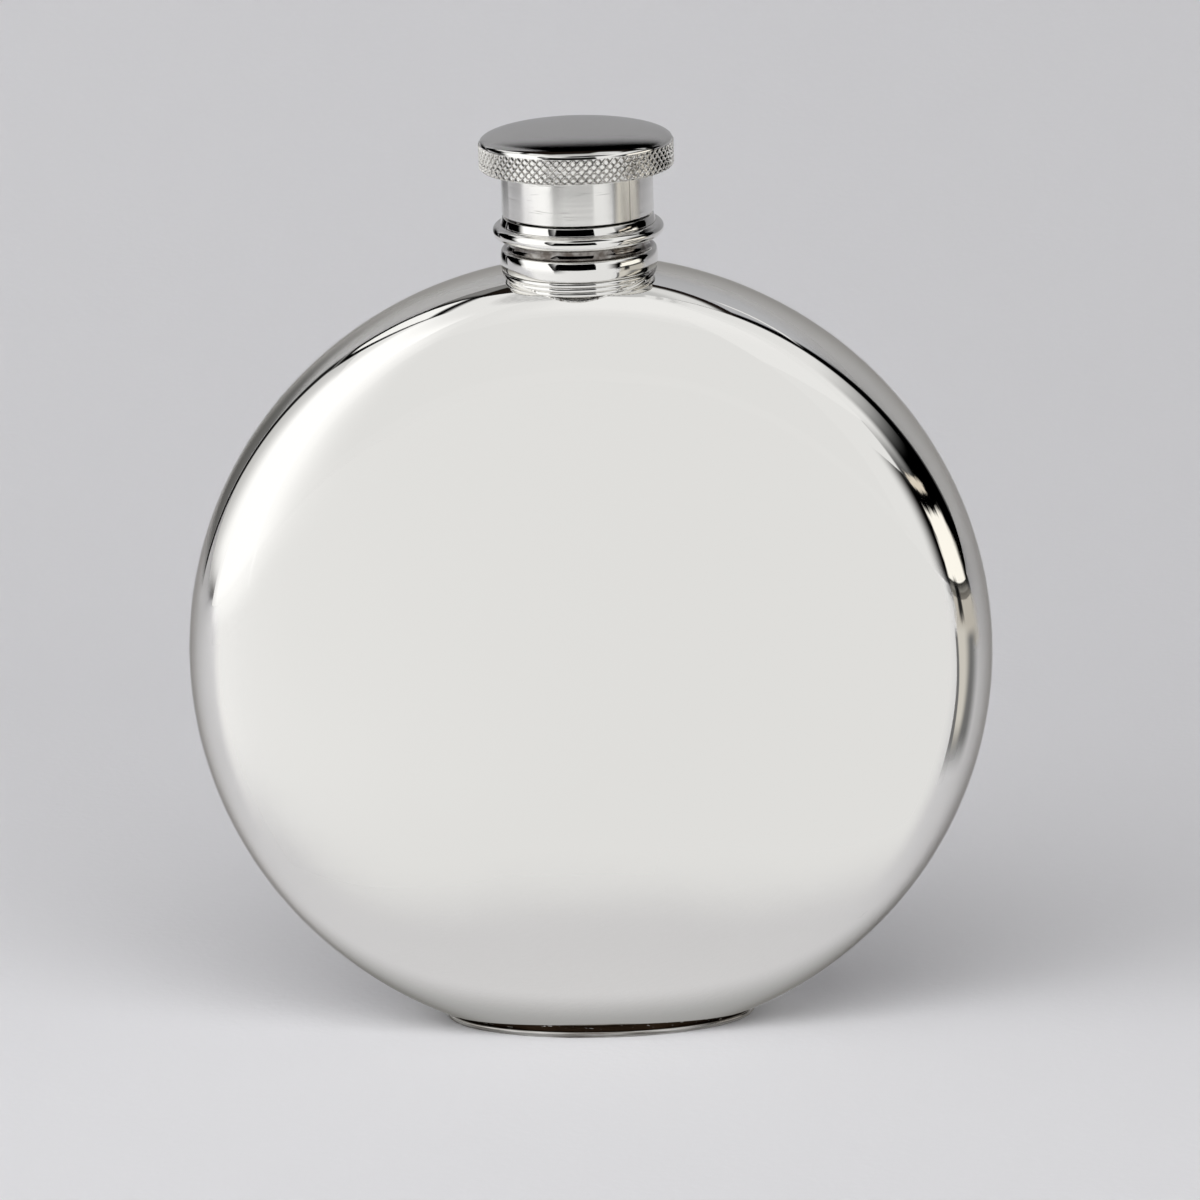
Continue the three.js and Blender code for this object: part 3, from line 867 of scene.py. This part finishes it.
class FLASK_OT_collar(bpy.types.Operator):
    """Make the turned collar, its underside fitted to the body, and the solder round it"""
    bl_idname = "flask.collar"
    bl_label = "Collar"

    def execute(self, context):
        body = context.scene.flask_body
        neck = context.scene.flask_neck
        material = material_of(groove_shaded_pewter)
        top = collar_high.z
        upper_bottom = top - neck.upper_bead_height
        lower_top = upper_bottom - neck.groove_height
        lower_bottom = lower_top - neck.lower_bead_height
        bottom = collar_low.z + neck.base_trim
        reeds = []
        for i in range(neck.reed_count, 0, -1):
            low = lower_bottom - i * neck.reed_height
            reeds += bead_points(
                neck.reed_root, neck.reed_radius, low, low + neck.reed_height, steps=REED_STEPS)
        collar = turned("collar", eased([
            (neck.stem_radius, bottom), (neck.reed_root, bottom), *reeds,
            *bead_points(
                neck.lower_bead_root, neck.lower_bead_radius, lower_bottom, lower_top, LOWER_BEAD_FULLNESS),
            *bead_points(neck.lower_bead_root, neck.groove_radius, lower_top, upper_bottom),
            *bead_points(neck.upper_bead_root, neck.upper_bead_radius, upper_bottom, top),
            (neck.stem_radius, top), (neck.stem_radius, bottom)], neck.corner / 2), NECK_SEGMENTS)
        halves = [finished(shell_skin("saddle", facing, material), material) for facing in (-1.0, 1.0)]
        with context.temp_override(active_object=halves[0], selected_editable_objects=halves):
            bpy.ops.object.join()
        weld = halves[0].modifiers.new("weld", "WELD")
        weld.merge_threshold = MERGE_DISTANCE
        cut_away(collar, halves[0])
        settle(finished(collar, material), "flask", "neck_pewter", "neck_collar")
        drop(halves[0])

        solder = mesh_piece("collar_solder", [], [])
        run_tree(solder, solder_tree(), {
            "Body": bpy.data.objects["body_front"], "Second Body": bpy.data.objects["body_back"],
            "Ring Radius": neck.reed_root, "Bead Radius": neck.solder_radius,
            "Drop Height": 2 * body.radius, "Lump Size": 0.8 * MM, "Unevenness": 0.6,
            "Segments": 2 * NECK_SEGMENTS, "Material": material_of(wiped_solder)})
        settle(finished(solder, material_of(wiped_solder)), "flask", "neck_pewter")
        return {"FINISHED"}


def cut_thread(piece, cap, bottom, top, radius, outwards, material):
    """Gives a turned surface its thread. The sleeve's, which points inwards, lies half a pitch off
    the spout's, so that each fills the other's groove."""
    tree = bpy.data.node_groups.get("screw_thread") or thread_tree()
    run_tree(piece, tree, {
        "Bottom": bottom, "Top": top, "Radius": radius, "Pitch": cap.pitch, "Depth": cap.thread_depth,
        "Phase": 0.0 if outwards > 0 else 0.5, "Outwards": outwards, "Material": material})


class FLASK_OT_spout(bpy.types.Operator):
    """Make the threaded spout with the flange that covers the collar"""
    bl_idname = "flask.spout"
    bl_label = "Spout"

    def execute(self, context):
        neck = context.scene.flask_neck
        cap = context.scene.flask_cap
        material = material_of(turned_pewter)
        flange_bottom = collar_high.z
        gap = sleeve_low.z - collar_high.z - neck.flange_height
        flange_top = sleeve_low.z - gap * FLANGE_GAP_SHARE
        rows = round((spout_high.z - flange_top) / cap.pitch * THREAD_ROWS_PER_TURN)
        bevel = neck.corner * RIM_BEVEL_CORNERS
        rim = spout_high.z - bevel
        spout = turned("spout", eased([
            (neck.bore_radius, spout_low.z), (neck.stem_radius, spout_low.z),
            (neck.stem_radius, flange_bottom), (neck.flange_radius, flange_bottom),
            (neck.flange_radius - neck.flange_taper, flange_top),
            *straight((neck.core_radius, flange_top), (neck.core_radius, rim), rows),
            (neck.core_radius - bevel, spout_high.z), (neck.bore_radius, spout_high.z),
            (neck.bore_radius, spout_low.z)], neck.corner), NECK_SEGMENTS)
        cut_thread(spout, cap, flange_top, rim, neck.core_radius, 1.0, material)
        settle(finished(spout, material), "flask", "neck_pewter", "neck_spout")
        return {"FINISHED"}


class FLASK_OT_crown(bpy.types.Operator):
    """Make the domed crown of the cap with its crossed knurl"""
    bl_idname = "flask.crown"
    bl_label = "Crown"

    def execute(self, context):
        cap = context.scene.flask_cap
        material = material_of(knurled_pewter)
        radius = crown_high.x
        seat = sleeve_high.x + cap.seat_gap
        bottom = crown_low.z
        knurl_top = bottom + cap.knurl_height
        land_top = knurl_top + cap.land_height
        dome_height = crown_high.z - land_top
        edge = []
        for i in range(CORNER_STEPS * 2):
            angle = math.pi / 2 * i / (CORNER_STEPS * 2)
            edge.append((radius - cap.knurl_edge * (1 - math.sin(angle)),
                         bottom + cap.knurl_edge * (1 - math.cos(angle))))
        rim = straight((radius, bottom + cap.knurl_edge), (radius, knurl_top), cap.rows * KNURL_STEPS)
        land = eased([
            (radius, knurl_top), (cap.land_radius, knurl_top), (cap.land_radius, land_top)], cap.corner)
        dome = []
        for i in range(DOME_STEPS + 1):
            angle = math.pi / 2 * i / DOME_STEPS
            dome.append((cap.land_radius * math.cos(angle), land_top + dome_height * math.sin(angle)))
        dome[-1] = (0, crown_high.z)
        under = [(0, sleeve_high.z), (seat, sleeve_high.z), (seat, bottom)]
        profile = [*under, *edge, *rim, *land[1:], *dome[1:]]
        crown = turned("crown", profile, cap.diamonds * KNURL_STEPS)
        run_tree(crown, knurl_tree(), {
            "Bottom": bottom, "Height": cap.knurl_height, "Radius": radius, "Depth": cap.knurl_depth,
            "Diamonds": float(cap.diamonds), "Rows": float(cap.rows), "Ridge Share": cap.ridge_share,
            "Material": material})
        settle(finished(crown, material), "cap", "knurled_pewter", "cap_crown")
        return {"FINISHED"}


class FLASK_OT_sleeve(bpy.types.Operator):
    """Make the satin sleeve of the cap with the thread in its bore"""
    bl_idname = "flask.sleeve"
    bl_label = "Sleeve"

    def execute(self, context):
        cap = context.scene.flask_cap
        material = material_of(satin_pewter)
        radius = sleeve_high.x
        low, high = sleeve_low.z, sleeve_high.z
        thread_top = spout_high.z
        rows = round((thread_top - low) / cap.pitch * THREAD_ROWS_PER_TURN)
        sleeve = turned("sleeve", eased([
            (cap.sleeve_bore, high), *straight((cap.sleeve_bore, thread_top), (cap.sleeve_bore, low), rows),
            (radius, low), (radius, high), (cap.sleeve_bore, high)], cap.corner), NECK_SEGMENTS)
        cut_thread(sleeve, cap, low, thread_top, cap.sleeve_bore, -1.0, material)
        settle(finished(sleeve, material), "cap", "satin_pewter", "cap_sleeve")
        return {"FINISHED"}


class FLASK_OT_liner(bpy.types.Operator):
    """Make the loose cork disc that seals the spout"""
    bl_idname = "flask.liner"
    bl_label = "Liner"

    def execute(self, context):
        radius = liner_high.x
        liner = turned("liner", eased([
            (0, liner_low.z), (radius, liner_low.z), (radius, liner_high.z), (0, liner_high.z)],
            context.scene.flask_cap.corner), NECK_SEGMENTS)
        settle(finished(liner, material_of(pressed_cork)), "liner", "cork", "cap_liner")
        return {"FINISHED"}


AIM = Vector((0, 0, CAD_BOX[1][2] / 2))


def direction(azimuth, rise):
    """The way out to an azimuth to the right of the front and a rise over the horizon."""
    return Vector((
        math.sin(azimuth) * math.cos(rise), -math.cos(azimuth) * math.cos(rise), math.sin(rise)))


def lamp(name, width, height, radiance, azimuth, rise, distance):
    """A soft box that lights the paper: azimuth to the right of the front in degrees, and height
    and distance from the flask in metres."""
    azimuth = math.radians(azimuth)
    data = bpy.data.lights.new(name, "AREA")
    data.shape = "RECTANGLE"
    data.size = width
    data.size_y = height
    data.energy = radiance * math.pi * width * height
    box = bpy.data.objects.new(name, data)
    bpy.context.collection.objects.link(box)
    place = Vector((distance * math.sin(azimuth), -distance * math.cos(azimuth), rise))
    facing = (place - AIM).to_track_quat("Z", "Y").to_matrix().to_4x4()
    box.matrix_world = Matrix.Translation(place) @ facing
    box.visible_camera = False
    box.visible_glossy = False


def card_cloth(name, glow, tint, soft, ragged, cover):
    """Cloth or board of one card. It glows evenly, covers what is behind it wholly or in part and
    fades out at its soft edges. Ragged edges break it up like the small lights of a room."""
    material = bpy.data.materials.new(name)
    material.use_nodes = True
    tree = material.node_tree
    tree.nodes.remove(tree.nodes["Principled BSDF"])
    share = add_node(tree, "ShaderNodeAttribute", attribute_name="share").outputs["Vector"]
    if ragged:
        place = add_node(tree, "ShaderNodeMapping", {"Vector": share, "Scale": RAGGED_LUMPS})
        noise = noise_node(tree, place, 1.0, 2.0)
        shift = add_node(tree, "ShaderNodeVectorMath", {0: noise.outputs["Color"], 1: (0.5, 0.5, 0.5)},
                         operation="SUBTRACT")
        share = add_node(tree, "ShaderNodeVectorMath", {0: shift, 1: (ragged, ragged, 0), 2: share},
                         operation="MULTIPLY_ADD").outputs[0]
    across = add_node(tree, "ShaderNodeSeparateXYZ", {0: share})
    fade = cover
    for i, (low, high) in enumerate((soft[:2], soft[2:])):
        for near, far, width in ((0.0, 1.0, low), (1.0, 0.0, high)):
            if width:
                edge = ramp(tree, across.outputs[i], near, near + (far - near) * width, smooth=True)
                fade = product(tree, edge, fade)
    clear = add_node(tree, "ShaderNodeBsdfTransparent")
    lit = add_node(tree, "ShaderNodeEmission", {"Color": linear(tint), "Strength": glow})
    mixed = add_node(tree, "ShaderNodeMixShader", {0: fade, 1: clear, 2: lit})
    tree.links.new(mixed.outputs[0], tree.nodes["Material Output"].inputs["Surface"])
    return material


def card(name, glow, left, right, rises, soft=(0, 0, 0, 0), distance=0.9, tint="#FFFFFF", ragged=0.0,
         lift=1 * MM, squeeze=1.0, cover=1.0):
    """A card of the tent round the flask, which only its polished metal sees. Its left and right
    edges are azimuths at its bottom and top, in degrees, and its rises are those of its bottom and
    top. Soft gives the faded shares at the left, right, bottom and top. A card below the horizon lies
    a little over the floor, where it can be squeezed from front to back."""
    vertices = []
    shares = []
    for j in range(CARD_ROWS + 1):
        for i in range(CARD_COLUMNS + 1):
            u, v = i / CARD_COLUMNS, j / CARD_ROWS
            first = left[0] + (left[1] - left[0]) * v
            last = right[0] + (right[1] - right[0]) * v
            rise = rises[0] + (rises[1] - rises[0]) * v
            away = direction(math.radians(first + (last - first) * u), math.radians(rise))
            reach = distance
            if away.z < 0:
                reach = min(distance, (AIM.z - lift) / -away.z)
            away.y *= squeeze
            vertices.append(AIM + away * reach)
            shares += (u, v, 0)
    row = CARD_COLUMNS + 1
    faces = [(j * row + i, j * row + i + 1, (j + 1) * row + i + 1, (j + 1) * row + i)
             for j in range(CARD_ROWS) for i in range(CARD_COLUMNS)]
    sheet = mesh_piece(name, vertices, faces)
    sheet.data.attributes.new("share", "FLOAT_VECTOR", "POINT").data.foreach_set("vector", shares)
    sheet.data.materials.append(card_cloth(name, glow, tint, soft, ragged, cover))
    sheet.visible_camera = False
    sheet.visible_diffuse = False
    sheet.visible_shadow = False
    return sheet


def dim_room(scene):
    """The dark, warm room that the metal sees between the cards."""
    world = bpy.data.worlds.new("dim_room")
    scene.world = world
    world.use_nodes = True
    room = world.node_tree.nodes["Background"]
    room.inputs["Color"].default_value = linear("#1E1814")
    room.inputs["Strength"].default_value = 1.0


def paper_sweep():
    """Paper that lies flat under the flask and bends up behind it."""
    flat, bend, rise, half = 0.16, 0.5, 0.42, 1.6
    line = [(-half, 0)]
    for i in range(SWEEP_STEPS + 1):
        angle = math.pi / 2 * i / SWEEP_STEPS
        line.append((flat + bend * math.sin(angle), bend * (1 - math.cos(angle))))
    line.append((flat + bend, bend + rise))
    vertices = [(side * half, y, z) for y, z in line for side in (-1, 1)]
    faces = [(2 * i, 2 * i + 1, 2 * i + 3, 2 * i + 2) for i in range(len(line) - 1)]
    sweep = mesh_piece("paper_sweep", vertices, faces)
    sweep.data.materials.append(seamless_paper())
    sweep.data.shade_smooth()


def hang_cards():
    """Cards that all the polished metal sees: the tent, and the window, shelf and table beside it."""
    card("floor_card", 0.87, (-60, -60), (74, 66), (-52, -4), (0.3, 0.15, 0.35, 0))
    card("floor_key_card", 0.98, (-80, -80), (6, 6), (-40, -4), (0.2, 0.75, 0.6, 0), lift=2 * MM)
    card("floor_shade", 0.4, (-180, -180), (180, 180), (-80, -45), (0, 0, 0, 0.6),
         lift=0.15 * MM, squeeze=0.38)
    card("low_card", 0.88, (-33, -33), (30, 30), (-4, -2))
    card("high_card", 0.89, (-40, -40), (26, 26), (40, 80))
    card("high_right_card", 0.94, (26, 26), (62, 62), (28, 80))
    card("right_card", 0.89, (26, 26), (62, 62), (16, 28), (0, 0.12, 0, 0))
    card("right_low_card", 0.89, (26, 26), (60, 60), (-4, 16), (0, 0.6, 0, 0))
    card("left_card", 0.92, (-90, -90), (-33, -33), (-4, 40))
    card("left_high_card", 0.92, (-136, -136), (-40, -40), (40, 80))
    card("key_card", 1.22, (-88, -126), (-33, -56), (-10, 67), (0.25, 0, 0.12, 0.2), 0.86, lift=4 * MM)
    card("far_card", 0.92, (60, 60), (84, 82), (13, 80), (0, 0.6, 0.3, 0), 0.88)
    card("far_edge_card", 0.88, (62, 62), (110, 108), (21, 80), (0, 0.08, 0.45, 0))
    card("ceiling_card", 0.6, (-180, -180), (180, 180), (70, 90), (0, 0, 0.3, 0))
    card("back_high_card", 0.8, (108, 108), (165, 165), (62, 80), (0, 0, 0.2, 0))
    card("right_flag", 0.0, (50, 56), (124, 118), (-9, 60), (0.15, 0, 0.1, 0), 1.0, lift=0.5 * MM)
    card("window", 1.15, (61, 64), (108, 102), (-7, 12), (0.08, 0.2, 0.1, 0.12),
         0.95, "#FFFBF2", 0.25, 2 * MM)
    card("window_sill", 0.55, (60, 60), (118, 118), (-13, -3), (0.1, 0.3, 0.15, 0.1),
         0.93, "#FFF8EC", 0.3, 3 * MM)
    card("window_plant", 0.02, (68, 69), (82, 80), (-9, -1), (0.3, 0.3, 0.3, 0.3),
         0.91, "#FFFFFF", 0.3, 4 * MM)
    card("shelf_light", 0.8, (64, 64), (90, 90), (14, 18), (0.1, 0.2, 0.3, 0.3), 0.95, "#FFF3E0", 0.5)
    card("table_side", 0.18, (64, 57), (96, 112), (-31, -9), (0.03, 0.4, 0.3, 0.1), lift=4 * MM)
    card("table_top", 0.68, (68, 60), (78, 92), (-28, -8), (0.08, 0.6, 0.3, 0.1),
         tint="#FFFAF0", lift=5 * MM)
    card("slanted_light", 0.9, (108, 134), (116, 142), (46, 58), (0.3, 0.3, 0.2, 0.2), 0.35)
    card("left_flag", 0.0, (-131, -135), (-124, -124), (-6, 33), (0.4, 0.3, 0.1, 0), 0.35)
    card("corner_flag", 0.0, (-137, -146), (-128, -108), (30, 63), (0.1, 0.1, 0.1, 0.1), 0.84)
    card("corner_light", 1.1, (-133, -140), (-131, -115), (34, 58), (0.05, 0.05, 0.1, 0.1), 0.82)


def hang_doors():
    """Cards that only the body and the foot see, as the cap and the neck mirror a darker room."""
    doors = (
        card("front_door", 0.87, (-33, -33), (26, 26), (-2, 40)),
        card("key_door", 1.18, (-34, -57), (-11, -36), (-10, 60), (0, 1.0, 0.12, 0.3), 0.855, lift=4 * MM),
        card("high_door", 0.97, (-30, -30), (62, 62), (42, 80), (0.3, 0, 0.4, 0), 0.87),
        card("left_door", 0.7, (-136, -136), (-84, -84), (-4, 40), (0, 0, 0.15, 0)),
        card("left_glow_door", 1.15, (-124, -124), (-86, -86), (-3, 42), (0.9, 0, 0.2, 0.1), 0.88),
        card("back_door", 0.54, (115, 115), (205, 200), (31, 60), (0.05, 0.1, 0.52, 0), 0.4, "#F4F6FF"),
        card("back_veil", 0.56, (115, 115), (222, 222), (-3, 60), (0.05, 0.05, 0.1, 0), 0.38, cover=0.42),
        card("left_shade", 0.2, (-162, -162), (-130, -134), (-7, 26), (0.6, 0, 0.2, 0.4), 0.36),
    )
    seen_by = bpy.data.collections.new("doors_are_seen_by")
    for piece in ("body_front", "body_back", "foot"):
        seen_by.objects.link(bpy.data.objects[piece])
    for door in doors:
        door.light_linking.receiver_collection = seen_by


def aim_camera(scene, stage):
    """The camera, placed by its azimuth, elevation, roll and distance from its target."""
    azimuth, elevation, roll = stage.camera_azimuth, stage.camera_elevation, stage.camera_roll
    back = direction(azimuth, elevation)
    right = Vector((math.cos(azimuth), math.sin(azimuth), 0))
    up = back.cross(right)
    leaning = right * math.cos(roll) + up * math.sin(roll)
    upright = up * math.cos(roll) - right * math.sin(roll)
    data = bpy.data.cameras.new("camera")
    data.sensor_width = SENSOR_WIDTH
    data.lens = SENSOR_WIDTH * stage.picture_scale * stage.camera_distance / MM / IMAGE_WIDTH
    camera = bpy.data.objects.new("camera", data)
    bpy.context.collection.objects.link(camera)
    turn = Matrix((leaning, upright, back)).transposed().to_4x4()
    camera.matrix_world = Matrix.Translation(Vector(stage.target) + back * stage.camera_distance) @ turn
    scene.camera = camera


class FLASK_OT_stage(bpy.types.Operator):
    """Make the paper sweep, the lamps, the cards of the tent and the camera"""
    bl_idname = "flask.stage"
    bl_label = "Stage"

    def execute(self, context):
        scene = context.scene
        scene.view_settings.view_transform = "Standard"
        dim_room(scene)
        paper_sweep()
        lamp("key_box", 0.85, 0.95, 1.54, -62, 0.46, 0.85)
        lamp("fill_box", 0.5, 0.42, 2.2, 46, 0.22, 0.85)
        lamp("front_box", 1.3, 0.65, 2.1, 0, 0.75, 0.55)
        lamp("top_box", 1.2, 1.2, 0.42, 0, 1.3, 0.05)
        hang_cards()
        hang_doors()
        aim_camera(scene, scene.flask_stage)
        return {"FINISHED"}


class FLASK_PT_pieces(bpy.types.Panel):
    """Lists the sizes and the makers of the pieces"""
    bl_label = "Pewter flask"
    bl_idname = "FLASK_PT_pieces"
    bl_space_type = "VIEW_3D"
    bl_region_type = "UI"
    bl_category = "Flask"

    def draw(self, context):
        for maker in MAKERS:
            self.layout.operator(maker.bl_idname)
        for name in GROUPS:
            group = getattr(context.scene, name)
            box = self.layout.box()
            for field in group.__annotations__:
                box.prop(group, field)


GROUPS = {
    "flask_body": FlaskBodySizes,
    "flask_neck": FlaskNeckSizes,
    "flask_cap": FlaskCapSizes,
    "flask_finish": FlaskFinish,
    "flask_stage": FlaskStage,
}
MAKERS = (
    FLASK_OT_shells, FLASK_OT_foot, FLASK_OT_collar, FLASK_OT_spout, FLASK_OT_crown,
    FLASK_OT_sleeve, FLASK_OT_liner, FLASK_OT_stage,
)


def register():
    for cls in (*GROUPS.values(), *MAKERS, FLASK_PT_pieces):
        bpy.utils.register_class(cls)
    for name, group in GROUPS.items():
        setattr(bpy.types.Scene, name, PointerProperty(type=group))


def unregister():
    for name in GROUPS:
        delattr(bpy.types.Scene, name)
    for cls in reversed((*GROUPS.values(), *MAKERS, FLASK_PT_pieces)):
        bpy.utils.unregister_class(cls)


def main():
    register()
    bpy.ops.flask.shells()
    bpy.ops.flask.foot()
    bpy.ops.flask.collar()
    bpy.ops.flask.spout()
    bpy.ops.flask.crown()
    bpy.ops.flask.sleeve()
    bpy.ops.flask.liner()
    bpy.ops.flask.stage()


if __name__ == "__main__":
    main()
